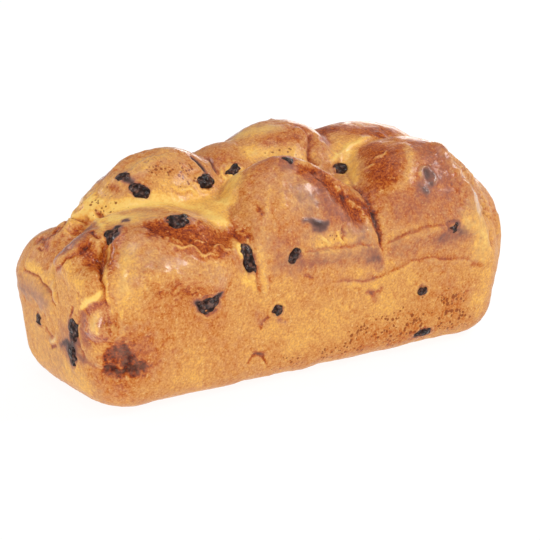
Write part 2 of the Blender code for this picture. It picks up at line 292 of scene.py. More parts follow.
    patch(1.5, -0.3, 0.22, ((88, 310), (96, 306), (102, 303)), purple=-0.2),
    roll(5.4, 4.6, 0.12, ((102, 319), (98, 328), (95, 338))),
    paint(5.0, 0.14, ((97, 314), (97, 324), (97, 334)), purple=-0.25, gloss=1.6),
    # painted highlight: a pale pink core on the blister
    paint(2.3, -0.46, ((96, 316), (96, 322), (98, 329)), purple=0.35),
    paint(3.0, 0.34, ((84, 316), (83, 330), (87, 344)), purple=0.30),
    paint(3.4, 0.12, ((105, 310), (108, 324), (104, 336), (96, 342)), purple=-0.60),
    seam(1.2, -1.6, 0.08, ((79, 315), (76, 328), (78, 344), (86, 358)), purple=0.1),
    roll(1.0, 0.6, -0.06, ((122, 308), (123, 322), (122, 338))),
    patch(4.8, -1.4, 0.62, ((112, 356), (121, 353), (131, 360)), gloss=0.2),
    patch(2.6, -0.8, 0.56, ((106, 370), (124, 370), (144, 367))),
    seam(1.2, -2.0, 0.44, ((98, 366), (110, 370), (126, 371), (150, 366))),
    roll(1.6, 0.0, 0.16, ((78, 356), (88, 361), (97, 366)), purple=0.3),
    # painted glint: a small pale roll, over real gloss
    roll(0.8, 0.8, -0.30, ((96, 364), (101, 368)), gloss=1.0),
    paint(9.0, 0.15, ((128, 338), (140, 350), (154, 360)), purple=0.08),
    paint(8.0, 0.13, ((94, 376), (116, 386), (136, 384))),
    paint(7.0, -0.10, ((60, 358), (74, 376), (90, 388)), purple=0.12),
    paint(9.0, -0.08, ((34, 320), (42, 346), (56, 366)), purple=0.12),
    # left lobe: brown top, fold with a thin crease, grey sheen under it
    paint(9.0, 0.02, ((28, 256), (38, 248), (48, 262))),
    patch(3.0, -0.8, 0.20, ((37, 241), (43, 239), (49, 244)), speckle=0.5),
    roll(0.7, -0.6, 0.24, ((37, 241), (42, 237), (48, 240))),
    roll(0.7, -0.6, 0.24, ((36, 248), (41, 250), (45, 248))),
    patch(2.6, 0.5, -0.14, ((28, 264), (36, 268), (46, 276))),
    seam(1.0, -2.0, 0.20, ((22, 271), (34, 275), (43, 283), (50, 291), (54, 301))),
    patch(6.5, 1.4, 0.00, ((24, 285), (35, 292), (46, 300)), purple=0.34, gloss=0.2),
    roll(0.9, -0.6, 0.36, ((53, 296), (55, 303))),
    roll(1.6, -0.4, 0.18, ((46, 330), (52, 336)), purple=0.1),
    roll(1.2, 0.6, -0.20, ((52, 342), (57, 338)), purple=0.2, gloss=0.5),
    roll(1.0, -0.8, 0.30, ((52, 347), (56, 345)), purple=0.2),
    paint(5.0, 0.06, ((64, 332), (63, 346), (80, 354)), purple=0.24),
    # melted chocolate: streak on the left end, under a skin of dough, and scars of it
    roll(0.8, -0.6, 0.30, ((72, 308), (70, 316))),
    roll(3.0, 0.0, 0.30, ((72, 318), (71, 330), (73, 342), (71, 354), (73, 366)), purple=0.8),
    roll(1.2, 0.0, 0.12, ((61, 344), (68, 342)), purple=0.5),
    roll(1.8, 0.0, 0.40, ((121, 172), (127, 179), (134, 184)), purple=0.9),
    patch(4.6, 1.0, 0.20, ((428, 173), (427, 181), (424, 190)), purple=0.40, gloss=0.1),
    roll(0.8, 0.9, -0.30, ((420, 178), (422, 170), (428, 167)), gloss=0.3),
    roll(0.8, 0.8, -0.30, ((433, 172), (436, 178), (433, 185)), gloss=0.3),
    roll(0.9, 0.8, -0.30, ((421, 186), (425, 192), (430, 190)), purple=0.1, gloss=0.3),
    roll(1.2, -1.2, 0.40, ((426, 171), (428, 178)), purple=0.1),
    patch(1.6, 0.3, 0.10, ((304, 221), (316, 223), (328, 221)), purple=0.36),
    patch(2.3, 0.3, 0.10, ((316, 228), (326, 228)), purple=0.34),
    paint(2.6, 0.06, ((293, 166), (284, 168)), purple=0.3),
    patch(3.8, -0.3, 0.06, ((374, 256), (380, 266)), purple=0.24),
    roll(1.5, -0.4, 0.18, ((364, 291), (372, 293), (379, 291), (384, 285)), purple=0.1),
    roll(1.6, -0.4, 0.18, ((372, 293), (377, 300)), purple=0.1),
    patch(4.0, 1.0, 0.24, ((444, 229), (454, 225)), purple=0.20),
    paint(4.0, 0.06, ((444, 240), (462, 236)), purple=0.16),
    roll(1.2, -0.7, 0.24, ((259, 209), (262, 213))),
    paint(3.0, 0.12, ((258, 312), (264, 322)), purple=0.10),
    roll(0.9, -0.3, 0.24, ((261, 330), (264, 322), (272, 315))),
    roll(0.9, -0.3, 0.26, ((244, 366), (252, 357), (260, 354), (268, 366))),
    roll(1.1, -0.3, 0.30, ((255, 353), (264, 354)), purple=0.1),
    roll(0.8, 0.0, 0.30, ((278, 318), (284, 320), (288, 321)), purple=0.5),
    roll(2.4, 0.0, 0.40, ((104, 234), (112, 233), (119, 226)), purple=1.0),
    roll(1.6, 0.0, 0.40, ((108, 240), (115, 239), (120, 234)), purple=1.0),
    roll(1.2, 0.0, 0.30, ((119, 223), (123, 220), (128, 222)), purple=0.8),
    roll(1.7, 0.0, 0.40, ((213, 301), (217, 295), (219, 290)), purple=1.0),
    roll(1.6, 0.0, 0.40, ((196, 303), (201, 307)), purple=1.0),
    roll(1.8, 0.0, 0.40, ((413, 334), (422, 334), (431, 330)), purple=1.0),
    # the lower wall: dark pores towards the right, and plainer dough at the corner
    paint(9.0, 0.12, ((366, 334), (388, 327), (410, 320), (432, 312), (456, 303)), speckle=1.2),
    paint(6.0, 0.10, ((276, 364), (320, 355), (370, 345), (420, 334), (466, 320)), speckle=0.4),
    paint(7.0, -0.08, ((476, 304), (484, 288))),
    paint(5.0, 0.10, ((400, 262), (440, 257), (474, 258)), purple=0.06),
)

# The sides that the photograph hides, finished in the same way, with places in mm
HIDDEN = (
    # seams between the back lobes, and the rims of the lobes beside them
    seam(3.0, -4.4, 0.14, ((-32, 28, 93), (-30, 36, 88), (-28, 44, 76), (-27, 49, 58))),
    seam(3.0, -4.6, 0.16, ((33, 26, 100), (37, 38, 90), (39, 46, 76), (40, 50, 56))),
    seam(2.6, -3.6, 0.14, ((-84, 22, 78), (-86, 34, 72), (-87, 44, 62), (-86, 48, 48))),
    roll(2.8, 2.2, 0.10, ((44, 26, 98), (48, 38, 89), (50, 46, 76), (50, 50, 64)), gloss=0.8),
    roll(2.6, 2.0, 0.08, ((-20, 30, 93), (-18, 38, 88), (-17, 45, 78)), gloss=0.6),
    roll(2.6, 1.6, 0.06, ((-78, 24, 80), (-78, 36, 74), (-79, 45, 64)), gloss=0.6),
    patch(6.5, -1.2, 0.22, ((-70, 26, 90), (-54, 34, 90), (-42, 36, 88)), gloss=0.3),
    patch(7.0, -0.6, 0.20, ((4, 30, 97), (18, 34, 96)), gloss=0.4),
    patch(8.0, 0.4, 0.26, ((66, 28, 94), (80, 32, 86)), gloss=0.5),
    paint(7.0, -0.22, ((-32, 46, 72), (-24, 48, 60))),
    paint(7.0, -0.22, ((42, 47, 74), (46, 49, 60))),
    paint(6.0, -0.20, ((-84, 30, 78), (-84, 42, 66))),
    roll(0.9, 1.1, -0.40, ((-66, 42, 80), (-58, 45, 77), (-50, 44, 79), (-42, 46, 75))),
    roll(0.9, 1.0, -0.30, ((58, 44, 78), (68, 45, 74), (78, 44, 76), (86, 42, 72))),
    roll(3.4, 1.6, -0.04, ((-72, 47, 68), (-58, 49, 66), (-42, 49, 67)), gloss=0.9),
    roll(3.4, 1.6, -0.04, ((56, 50, 66), (72, 50, 64), (88, 46, 66)), gloss=0.9),
    roll(1.1, 0.6, -0.08, ((4, 38, 91), (3, 44, 80), (2, 48, 68))),
    roll(1.1, 0.6, -0.06, ((16, 38, 91), (17, 46, 77))),
    seam(2.2, 2.4, -0.04, ((22, 26, 102), (26, 38, 92), (28, 46, 80), (28, 50, 66)), gloss=0.5),
    patch(3.6, -1.6, 0.14, ((30, 34, 95), (33, 44, 82), (34, 49, 68)), gloss=0.3),
    lip(1.8, 2.0, 0.12, ((30, 50, 60), (14, 50, 61), (-4, 50, 60), (-20, 50, 58))),
    lip(1.8, 2.2, 0.12, ((92, 48, 56), (76, 50, 60), (60, 50, 61), (46, 50, 59))),
    lip(1.4, 1.3, 0.10, ((80, 49, 43), (58, 49, 45), (40, 49, 42), (16, 49, 44), (-10, 48, 42))),
    lip(1.4, 1.3, 0.10, ((-34, 48, 47), (-50, 48, 49), (-66, 48, 47), (-82, 47, 49))),
    patch(4.5, -0.4, 0.12, ((62, 50, 52), (40, 50, 50), (16, 50, 52), (-8, 50, 50)), purple=0.12),
    patch(3.4, -0.6, -0.20, ((-14, 49, 56), (-4, 50, 64))),
    # right end: two strands that cross, with pale dough between them
    seam(2.6, -3.8, 0.16, ((100, 24, 78), (110, 14, 72), (116, 0, 64), (118, -16, 54))),
    roll(3.0, 2.2, 0.10, ((104, 14, 80), (111, 4, 74), (116, -10, 66)), gloss=0.9),
    roll(3.4, 1.8, 0.08, ((108, 26, 70), (115, 14, 62), (118, 2, 54)), gloss=0.6),
    paint(6.0, -0.26, ((116, 14, 58), (118, -2, 48))),
    lip(1.7, 2.0, 0.12, ((118, -28, 40), (119, -10, 43), (119, 10, 40), (118, 28, 42))),
    patch(4.6, -1.2, 0.36, ((112, 34, 26), (108, 40, 20)), purple=0.15, gloss=0.4),
    patch(4.0, 2.0, 0.10, ((-58, 48, 62),), purple=0.6, gloss=0.9),
    patch(3.0, 0.6, 0.12, ((12, 46, 78), (8, 46, 80)), purple=0.55),
    roll(1.6, 0.0, 0.22, ((66, 49, 36), (70, 49, 33), (75, 49, 36)), purple=0.3),
    roll(0.9, -0.3, 0.26, ((-40, 47, 22), (-34, 47, 26), (-28, 47, 21))),
)

# ------------------------ chunks of chocolate

CHUNK_CUTS = 2
CHUNK_ROUNDING = 0.6
CHUNK_LUMP_SIZE, CHUNK_LUMPS = 3.6 * MM, 1.3 * MM
CHUNK_GRAIN_SIZE, CHUNK_GRAIN = 1.6 * MM, 0.5 * MM
CHUNK_PRESS = 0.5
# The dough round a chunk: a raised rim, and a crumbly edge that is browner and stained
POCKET_REACH = 4 * MM
RIM_HEIGHT, RIM_GAP, RIM_WIDTH = 0.3 * MM, 1.2 * MM, 0.9 * MM
CRUMB_SIZE, CRUMB_HEIGHT, CRUMB_WIDTH = 2.6 * MM, 0.9 * MM, 1.0 * MM
BROWNING, BROWNING_WIDTH = 0.12, 1.1 * MM
STAIN, STAIN_WIDTH = 0.20, 0.8 * MM

# ------------------------ colours, as they look on screen

# Crust, from stretched dough to the darkest bake
CRUST_TONES = (
    (0.00, (255, 210, 114)),
    (0.20, (247, 186, 88)),
    (0.42, (218, 152, 84)),
    (0.58, (202, 120, 48)),
    (0.70, (182, 84, 18)),
    (0.84, (136, 48, 8)),
    (1.00, (72, 26, 14)),
)
# Dough that melted chocolate has stained, from a pink blush to bare chocolate. The pink end also serves as a
# painted sheen, a painted highlight on the crust.
MELT_AND_SHEEN_TONES = (
    (0.00, (216, 158, 124)),
    (0.35, (166, 112, 94)),
    (0.70, (108, 76, 68)),
    (1.00, (62, 42, 38)),
)
CHOCOLATE_TONES = ((0.36, (20, 9, 7)), (0.52, (50, 26, 20)), (0.68, (118, 80, 66)))
PORE = (138, 58, 6)
FLECK = (255, 222, 150)
# The crust's mottling: the size of its spots, their detail and stretch, and how far they shift the tone
MOTTLING = (
    (8 * MM, 4.0, (1, 1, 1), 0.24),
    (2.4 * MM, 3.0, (1, 1, 0.7), 0.30),
    (1.0 * MM, 3.0, (1, 1, 1), 0.72),
)
# Pores: how far apart they are, and the radius of the widest one as a share of that
PORES = ((1.7 * MM, 0.58), (2.9 * MM, 0.42))

# ------------------------ the camera, the light and the floor

CAMERA_LENS = 140
CAMERA_SENSOR = 36
CAMERA_TARGET = Vector((3.6, 0, 38.8)) * MM
CAMERA_DISTANCE = 0.998
CAMERA_AZIMUTH = math.radians(-32.41)
CAMERA_ELEVATION = math.radians(18.03)

# Soft lights that look at the loaf: name, place, width and height (m), and power (W)
LIGHTS = (
    ("key", (0.85, -0.50, 0.95), 0.40, 0.40, 6.2),
    ("left", (-1.20, -0.45, 0.25), 0.80, 0.80, 2.1),
    ("left_front", (-0.87, -0.93, 0.33), 0.22, 0.42, 3.3),
    ("front", (-0.25, -1.35, 0.60), 0.80, 0.22, 1.9),
    ("crown", (-0.26, -0.74, 0.94), 0.22, 0.22, 1.0),
    ("right", (1.30, -0.10, 0.25), 0.80, 0.80, 3),
    ("top", (-0.20, 0.10, 1.30), 0.70, 0.70, 3),
    ("back_right", (0.90, 0.85, 0.30), 0.50, 0.50, 3),
    ("back_left", (-0.75, 1.10, 0.55), 0.60, 0.60, 4),
)
WORLD_LIGHT = 0.25
FLOOR_HALF = 4.0
FLOOR_GREY = 0.12
FLOOR_GLOW = 0.90


def flared_block(height, inset, shoulder):
    """The inside of the tin up to a height: a box whose walls lean out, with its edges rounded."""
    bm = bmesh.new()
    bmesh.ops.create_cube(bm, size=1.0)
    for corner in bm.verts:
        is_top = corner.co.z > 0
        rise = height if is_top else 0.0
        end_lean = RIGHT_LEAN if corner.co.x > 0 else LEFT_LEAN
        corner.co.x = math.copysign(BASE_LENGTH / 2 + rise * end_lean - inset, corner.co.x)
        corner.co.y = math.copysign(BASE_WIDTH / 2 + rise * SIDE_LEAN - inset, corner.co.y)
        corner.co.z = height if is_top else -BASE_TRIM
    upright = [e for e in bm.edges if abs(e.verts[0].co.z - e.verts[1].co.z) > height / 2]
    bmesh.ops.bevel(bm, geom=upright, offset=TIN_CORNER, segments=12, profile=0.5, affect="EDGES")
    low = [e for e in bm.edges if max(v.co.z for v in e.verts) < height / 2]
    bmesh.ops.bevel(bm, geom=low, offset=BASE_EDGE, segments=8, profile=0.5, affect="EDGES")
    if shoulder:
        high = [e for e in bm.edges if min(v.co.z for v in e.verts) > height * 0.99]
        bmesh.ops.bevel(bm, geom=high, offset=shoulder, segments=6, profile=0.5, affect="EDGES")
    return bm


def squared(value, squareness):
    """A sine or cosine, squared off: 2 keeps it, and more pushes it towards -1 or 1."""
    return math.copysign(abs(value) ** (2 / squareness), value)


def lobe(middle, half_sizes, upright, plan, turns=(0, 0, 0)):
    """One puffed loop of a dough strand: a superellipsoid."""
    bm = bmesh.new()
    bmesh.ops.create_uvsphere(bm, u_segments=LOBE_SEGMENTS, v_segments=LOBE_RINGS, radius=1.0)
    for point in bm.verts:
        across = math.hypot(point.co.x, point.co.y)
        if across > 0:
            reach = squared(across, upright)
            point.co.x = reach * squared(point.co.x / across, plan)
            point.co.y = reach * squared(point.co.y / across, plan)
        point.co.z = squared(point.co.z, upright)
    angles = Euler([math.radians(turn) for turn in turns])
    place = Matrix.LocRotScale(Vector(middle) * MM, angles, Vector(half_sizes) * MM)
    bmesh.ops.transform(bm, matrix=place, verts=bm.verts)
    return bm


def object_of(name, data):
    """Makes an object of a mesh, a light or a camera and puts it in the scene."""
    thing = bpy.data.objects.new(name, data)
    bpy.context.scene.collection.objects.link(thing)
    return thing


def mesh_of(name, *shapes):
    """Puts bmeshes together in one mesh. A bevel orders its faces differently each run, so they are sorted."""
    places = []
    faces = []
    for shape in shapes:
        shape.verts.index_update()
        for face in shape.faces:
            corners = [len(places) + corner.index for corner in face.verts]
            first = corners.index(min(corners))
            faces.append(corners[first:] + corners[:first])
        places += [corner.co.copy() for corner in shape.verts]
        shape.free()
    mesh = bpy.data.meshes.new(name)
    mesh.from_pydata(places, [], sorted(faces))
    return mesh


def tree_of(mesh):
    """A tree that finds places on a mesh's faces."""
    return BVHTree.FromPolygons([v.co for v in mesh.vertices], [tuple(f.vertices) for f in mesh.polygons])


def applied(thing):
    """The mesh that an object's modifiers leave."""
    depsgraph = bpy.context.evaluated_depsgraph_get()
    return bpy.data.meshes.new_from_object(thing.evaluated_get(depsgraph))


def dough_mesh():
    """The loaf's smooth form: filling and lobes fused, pressed into the tin and softened."""
    lobes = [lobe(*row[1:]) for row in LOBES]
    filling = flared_block(FILL_HEIGHT, FILL_INSET, FILL_SHOULDER)
    raw = object_of("raw_dough", mesh_of("raw_dough", filling, *lobes))
    mould = object_of("mould", mesh_of("mould", flared_block(MOULD_HEIGHT, 0.0, 0.0)))
    fuse = raw.modifiers.new("fuse", "REMESH")
    fuse.mode = "VOXEL"
    fuse.voxel_size = CRUST_VOXEL
    press = raw.modifiers.new("press", "BOOLEAN")
    press.operation = "INTERSECT"
    press.solver = "MANIFOLD"
    press.object = mould
    fuse_again = raw.modifiers.new("fuse_again", "REMESH")
    fuse_again.mode = "VOXEL"
    fuse_again.voxel_size = CRUST_VOXEL
    soften = raw.modifiers.new("soften", "SMOOTH")
    soften.factor = 0.5
    soften.iterations = CRUST_SMOOTHING
    mesh = applied(raw)
    bpy.data.objects.remove(raw)
    bpy.data.objects.remove(mould)
    return mesh


# ------------------------ shaping the crust


def smoothstep(low, high, value):
    """0 below low, 1 above high, and an S curve between."""
    share = np.clip((value - low) / (high - low), 0, 1)
    return share * share * (3 - 2 * share)


def points_of(mesh):
    """A mesh's vertices as an array of places."""
    places = np.empty(len(mesh.vertices) * 3)
    mesh.vertices.foreach_get("co", places)
    return places.reshape(-1, 3)


def normals_of(mesh):
    """A mesh's vertex normals as an array."""
    normals = np.empty(len(mesh.vertices) * 3)
    mesh.vertex_normals.foreach_get("vector", normals)
    return normals.reshape(-1, 3)


def move_points(mesh, places):
    """Puts a mesh's vertices in new places."""
    mesh.vertices.foreach_set("co", places.ravel())
    mesh.update()


def noise_at(places, size, octaves, seed):
    """Smooth noise between about -1 and 1, with lumps of a given size in metres."""
    shift = Vector((seed * 7.3, seed * 3.1, seed * 5.7))
    scaled = places / size
    return np.array([noise.fractal(Vector(place) + shift, 0.9, 2.0, octaves) for place in scaled])


def averaged(mesh, values, rounds):
    """Values of the vertices, each blended with its neighbours a number of times."""
    edges = np.empty(len(mesh.edges) * 2, dtype=np.int64)
    mesh.edges.foreach_get("vertices", edges)
    first, second = edges.reshape(-1, 2).T
    count = len(mesh.vertices)
    degree = np.bincount(first, minlength=count) + np.bincount(second, minlength=count)
    result = values.astype(float)
    for _ in range(rounds):
        total = np.bincount(first, result[second], count) + np.bincount(second, result[first], count)
        result = 0.5 * result + 0.5 * total / degree
    return result


def around(mesh, places, rounds):
    """The average place of what is around every vertex."""
    return np.stack([averaged(mesh, places[:, axis], rounds) for axis in range(3)], axis=1)


def hollowness(mesh, rounds):
    """How far a vertex lies below the average of what is around it, in metres: less than 0 on a crown."""
    places = points_of(mesh)
    return ((around(mesh, places, rounds) - places) * normals_of(mesh)).sum(1)


def view_axes():
    """The photograph's axes in space: towards the camera, to its right, and up."""
    across = math.cos(CAMERA_ELEVATION)
    back = Vector((math.sin(CAMERA_AZIMUTH) * across, -math.cos(CAMERA_AZIMUTH) * across,
                   math.sin(CAMERA_ELEVATION)))
    right = Vector((math.cos(CAMERA_AZIMUTH), math.sin(CAMERA_AZIMUTH), 0))
    return back, right, back.cross(right)


def seen_place(tree, across, down):
    """Where on the crust a place in the photograph lies, in mm."""
    back, right, up = view_axes()
    reach = CAMERA_LENS / CAMERA_SENSOR * PHOTO_SIDE
    ray = -back + right * (across - PHOTO_SIDE / 2) / reach - up * (down - PHOTO_SIDE / 2) / reach
    place = tree.ray_cast(CAMERA_TARGET + back * CAMERA_DISTANCE, ray.normalized())[0]
    if place is None:
        raise ValueError(f"the place {across}, {down} is off the crust")
    return place / MM


def ragged(points, normals):
    """Points shifted along the crust by noise, which makes what is drawn on them uneven."""
    shifts = np.array([noise.noise_vector(Vector(place) / BEND_SIZE) * BEND * MM
                       + noise.noise_vector(Vector(place) / RUFFLE_SIZE) * RUFFLE * MM for place in points])
    return points + shifts - normals * (shifts * normals).sum(1)[:, None]


def drawn_line(tree, places):
    """A smooth curve through places (mm), pulled onto the crust: its points and the crust's normals there."""
    knots = [np.array(place, float) * MM for place in places]
    if len(knots) == 1:
        knots.append(knots[0] + STROKE_STEP)
    knots = [2 * knots[0] - knots[1], *knots, 2 * knots[-1] - knots[-2]]
    rows = []
    for before, here, there, after in zip(knots, knots[1:], knots[2:], knots[3:]):
        count = max(2, round(np.linalg.norm(there - here) / STROKE_STEP))
        for share in np.arange(count) / count:
            rows.append(0.5 * (2 * here + (there - before) * share
                               + (2 * before - 5 * here + 4 * there - after) * share ** 2
                               + (3 * here - before - 3 * there + after) * share ** 3))
    rows.append(knots[-2])
    found = [tree.find_nearest(Vector(row)) for row in rows]
    return np.array([hit[0] for hit in found]), np.array([hit[1] for hit in found])


def profile(kind, distance, side, width):
    """How strong a stroke is across its width, for its height and for its colour."""
    if kind == "seam":
        return np.exp(-distance / width), np.exp(-(distance / (0.6 * width)) ** 2)
    if kind == "lip":
        beside = np.sqrt(np.maximum(distance ** 2 - side ** 2, 0))
        ends = np.exp(-(beside / width) ** 2)
        proud = smoothstep(-0.4 * width, 0.4 * width, side) * np.exp(-np.maximum(side, 0) / (3 * width))
        rise = proud - 0.3 * np.exp(-(distance / width) ** 2)
        bake = np.exp(-(side / width + 0.5) ** 2 * 3)
        return rise * ends, bake * ends
    power = 2.6 if kind == "patch" else 2
    strength = np.exp(-(distance / width) ** power)
    return strength, strength


def draw(stroke, places, tree, points, wobble, layers):
    """Adds a stroke to the height, tone, purple, gloss and speckle of the crust's points."""
    path, normals = drawn_line(tree, places)
    reach = STROKE_REACH[stroke.kind] * stroke.width * MM
    near = np.flatnonzero(((points > path.min(0) - reach) & (points < path.max(0) + reach)).all(1))
    gaps = points[near][:, None, :] - path[None, :, :]
    squares = (gaps ** 2).sum(2)
    nearest = squares.argmin(1)
    rows = np.arange(len(near))
    leftwards = np.cross(normals, np.gradient(path, axis=0))
    leftwards /= np.linalg.norm(leftwards, axis=1)[:, None] + 1e-9
    side = (gaps[rows, nearest] * leftwards[nearest]).sum(1)
    distance = np.sqrt(squares[rows, nearest])
    width = stroke.width * MM * (1 + STROKE_WOBBLE * wobble[near])
    rise, bake = profile(stroke.kind, distance, side, width)
    if len(places) > 2 and stroke.kind != "patch":
        # a long stroke fades out at its ends
        share = nearest / (len(path) - 1)
        taper = smoothstep(-0.05, 0.2, np.minimum(share, 1 - share))
        rise = rise * taper
        bake = bake * taper
    layers["height"][near] += stroke.height * MM * rise
    layers["tone"][near] += stroke.tone * bake
    layers["purple"][near] += stroke.purple * bake
    layers["gloss"][near] += stroke.gloss * bake
    layers["speckle"][near] += stroke.speckle * bake


def seat_chunks(points, layers):
    """Raises a rim of dough round every chunk of chocolate, and bakes it browner."""
    for name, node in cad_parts.items():
        if name == "loaf":
            continue
        low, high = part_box(name)
        low = np.array(low) - POCKET_REACH
        high = np.array(high) + POCKET_REACH
        near = np.flatnonzero(((points > low) & (points < high)).all(1))
        tree = tree_of(node.data)
        gap = np.array([tree.find_nearest(Vector(points[index]))[3] for index in near])
        crumbs = noise_at(points[near], CRUMB_SIZE, 1, 6.0)
        layers["height"][near] += RIM_HEIGHT * np.exp(-((gap - RIM_GAP) / RIM_WIDTH) ** 2)
        layers["height"][near] += CRUMB_HEIGHT * crumbs * np.exp(-(gap / CRUMB_WIDTH) ** 2)
        layers["tone"][near] += BROWNING * np.exp(-(gap / BROWNING_WIDTH) ** 2)
        layers["purple"][near] += STAIN * np.exp(-(gap / STAIN_WIDTH) ** 2)


def pressed(points):
    """How far the tin's walls shaped the dough: 1 where they held it, and 0 where it rose free."""
    side_gap = BASE_WIDTH / 2 + points[:, 2] * SIDE_LEAN - np.abs(points[:, 1])
    left_gap = BASE_LENGTH / 2 + points[:, 2] * LEFT_LEAN + points[:, 0]
    right_gap = BASE_LENGTH / 2 + points[:, 2] * RIGHT_LEAN - points[:, 0]
    return 1 - smoothstep(*TIN_GAPS, np.minimum(side_gap, np.minimum(left_gap, right_gap)))


def shaped_crust():
    """The crust with its folds, and the tone, purple, gloss and speckle of every vertex."""
    mesh = dough_mesh()
    points = points_of(mesh)
    normals = normals_of(mesh)
    tree = tree_of(mesh)

    # hollows stay pale and crowns bake brown, and what the tin held is an even gold
    crown = -hollowness(mesh, BROAD_ROUNDS) / MM
    wall = pressed(points)
    top = smoothstep(*TOP_HEIGHTS, points[:, 2]) * (1 - wall)
    foot = 1 - smoothstep(*FOOT_HEIGHTS, points[:, 2])
    swell = noise_at(points, SWELL_SIZE, 2, 1.0)
    lumps = noise_at(points, LUMP_SIZE, 2, 2.0)
    grain = noise_at(points, GRAIN_SIZE, 2, 3.0)
    wobble = noise_at(points, WOBBLE_SIZE, 3, 4.0)
    layers = {
        "height": SWELL * swell * (1 - 0.7 * wall) * MM,
        "tone": (PLAIN_TONE + 0.06 * top + np.clip(crown * 0.08, -0.22, 0.12) * (1 - wall)
                 + 0.08 * swell + 0.05 * lumps),
        "purple": 0.08 - 0.05 * wall + 0.04 * swell,
        "gloss": 0.18 + 0.30 * top + 0.12 * lumps,
        "speckle": 0.25 * top + 0.4 * foot,
    }
    drawn = ragged(points, normals)
    for stroke in SEEN:
        draw(stroke, [seen_place(tree, *place) for place in stroke.places], tree, drawn, wobble, layers)
    for stroke in HIDDEN:
        draw(stroke, stroke.places, tree, drawn, wobble, layers)
    seat_chunks(points, layers)
    points += normals * layers.pop("height")[:, None]

    # glossy dough is stretched smooth, and the rest is lumpy
    stretched = smoothstep(0.6, 1.3, layers["gloss"])[:, None]
    even = around(mesh, points, GLOSS_ROUNDS)
    points += stretched * (even - points)
    uneven = (LUMPS * lumps * (1 - 0.6 * wall) + GRAIN * grain) * MM
    points += normals * uneven[:, None] * (1 - 0.8 * stretched)
    points[:, 2] = np.maximum(points[:, 2], 0.0)
    move_points(mesh, points)

    # fine creases are painted darker, as painted shade, and fine ridges paler, as painted light, and the
    # darkest tones are held back
    tone = layers["tone"] + np.clip(hollowness(mesh, FINE_ROUNDS) / MM * 0.9, -0.10, 0.16)
    layers["tone"] = np.minimum(tone, DARK_TONE + 0.5 * (tone - DARK_TONE))
    for name, values in layers.items():
        layer = mesh.attributes.new(name, "FLOAT", "POINT")
        layer.data.foreach_set("value", np.clip(values, 0, 1).astype(np.float32))
    piece = object_of("crust", mesh)
    faces = 2 * len(mesh.polygons)
    if faces > CRUST_FACES:
        thin = piece.modifiers.new("thin", "DECIMATE")
        thin.ratio = CRUST_FACES / faces
        piece.data = applied(piece)
        piece.modifiers.clear()
    piece.data.shade_smooth()
    return piece


# ------------------------ finishes


def linear(red, green, blue):
    """A screen colour (0 to 255) as the renderer's linear colour, opaque."""
    channels = [value / 255 for value in (red, green, blue)]
    return *(c / 12.92 if c <= 0.04045 else ((c + 0.055) / 1.055) ** 2.4 for c in channels), 1


class Nodes:
    """A small helper that builds a material's node tree."""

    def __init__(self, name):
        self.material = bpy.data.materials.new(name)
        self.material.use_nodes = True
        self.tree = self.material.node_tree
        self.shader = self.tree.nodes["Principled BSDF"]

    def fill(self, node, inputs):
        """Gives a node's inputs a value or another node's output."""
        for key, value in inputs.items():
            if isinstance(value, bpy.types.NodeSocket):
                self.tree.links.new(value, node.inputs[key])
            else:
                node.inputs[key].default_value = value

    def add(self, kind, inputs, **settings):
        """Adds a node with its inputs and settings."""
        node = self.tree.nodes.new(kind)
        for key, value in settings.items():
            setattr(node, key, value)
        self.fill(node, inputs)
        return node

    def maths(self, operation, first, second, third=0.5, clamp=False):
        inputs = {0: first, 1: second, 2: third}
        return self.add("ShaderNodeMath", inputs, operation=operation, use_clamp=clamp).outputs[0]

    def attribute(self, name):
        return self.add("ShaderNodeAttribute", {}, attribute_name=name).outputs["Fac"]

    def place(self, stretch=(1, 1, 1)):
        coordinates = self.add("ShaderNodeTexCoord", {}).outputs["Object"]
        return self.add("ShaderNodeMapping", {"Vector": coordinates, "Scale": stretch}).outputs["Vector"]

    def noise(self, size, detail=2.0, stretch=(1, 1, 1), roughness=0.5):
        """Noise between about 0 and 1, with lumps of a given size in metres."""
        inputs = {"Vector": self.place(stretch), "Scale": 1 / size, "Detail": detail, "Roughness": roughness}
        return self.add("ShaderNodeTexNoise", inputs).outputs["Fac"]

    def shift(self, value, noise_value, amount):
        """A value with noise round 0.5 added to it."""
        centred = self.maths("SUBTRACT", noise_value, 0.5)
        return self.maths("MULTIPLY_ADD", centred, amount, value)

    def ramp(self, value, stops):
        """Colours for a value; each stop is a value and a screen colour."""
        node = self.add("ShaderNodeValToRGB", {"Fac": value})
        elements = node.color_ramp.elements
        while len(elements) < len(stops):
            elements.new(0.5)
        for element, (position, colour) in zip(elements, stops):
            element.position = position
            element.color = linear(*colour)
        return node.outputs["Color"]

    def mix(self, share, first, second):
        """One colour, with a share of another over it."""
        return self.add("ShaderNodeMix", {0: share, 6: first, 7: second}, data_type="RGBA").outputs[2]

    def spread(self, value, low, high, to_low=0.0, to_high=1.0):
        """A value between low and high, taken along an S curve to another range."""
        inputs = {"Value": value, "From Min": low, "From Max": high, "To Min": to_low, "To Max": to_high}
        return self.add("ShaderNodeMapRange", inputs, interpolation_type="SMOOTHSTEP").outputs[0]

    def bump(self, height, strength, distance):
        """Normals for a height that rises by a distance in metres."""
        inputs = {"Height": height, "Strength": strength, "Distance": distance}
        return self.add("ShaderNodeBump", inputs).outputs["Normal"]


